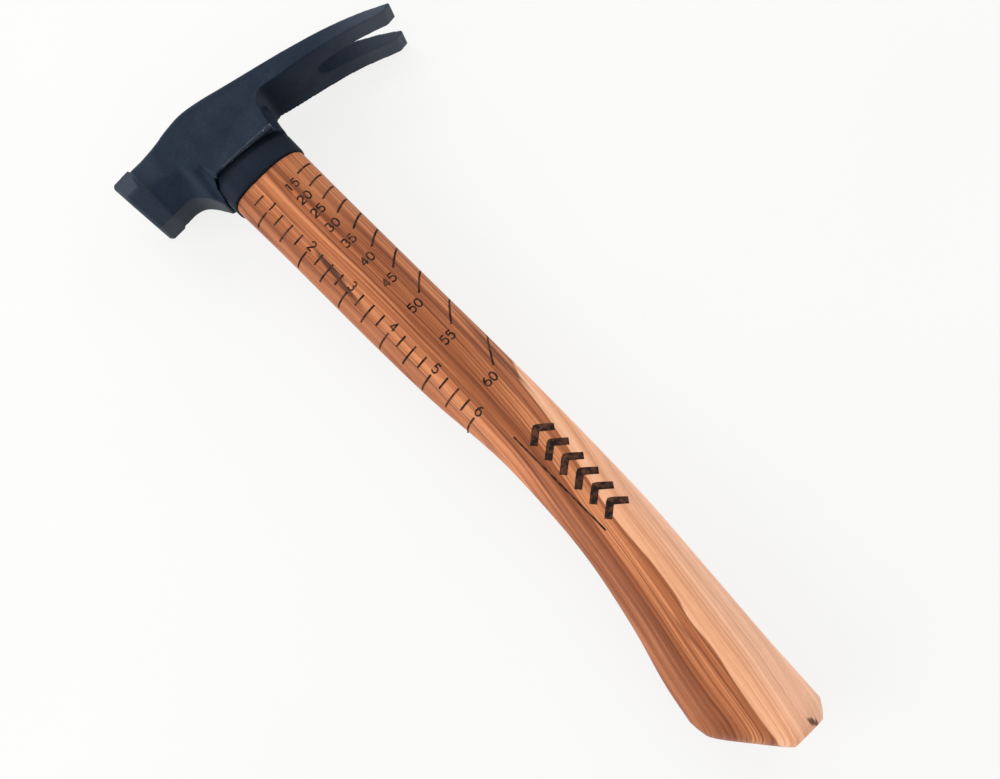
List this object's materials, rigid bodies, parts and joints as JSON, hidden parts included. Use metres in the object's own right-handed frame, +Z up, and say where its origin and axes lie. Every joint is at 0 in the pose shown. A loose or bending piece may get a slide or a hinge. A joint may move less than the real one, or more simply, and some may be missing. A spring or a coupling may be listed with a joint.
{
  "type": "claw hammer",
  "caption": "Wooden-handled claw hammer with a straight rip claw, a hexagonal poll, a collar below the head, and a curved grip marked with a ruler.",
  "frame": {"origin": "middle of the underside of the whole hammer as it lies on its side: x and y at the middle of its overall length and of its overall face-to-claw size, z at its lowest point", "axes": "+X along the handle from the butt towards the head, +Y from the claw towards the striking face, +Z up, from the side it lies on towards the marked side"},
  "size_m": [0.3676, 0.1394, 0.0404],
  "materials": {
    "black_coated_steel": "matte black coating with a faint blue-grey tint, worn to bare metal in specks on its edges",
    "hickory": "clear satin finish over red-brown heartwood and pale peach sapwood, with burned markings",
    "collar_black": "smooth satin black",
    "wedge_wood": "plain sawn hardwood",
    "wedge_steel": "bare stamped steel"
  },
  "bodies": {
    "root": {"hammer_head": "black_coated_steel", "handle": "hickory", "overstrike_collar": "collar_black", "wooden_wedge": "wedge_wood", "steel_wedge_front": "wedge_steel", "steel_wedge_rear": "wedge_steel"}
  },
  "joints": []
}
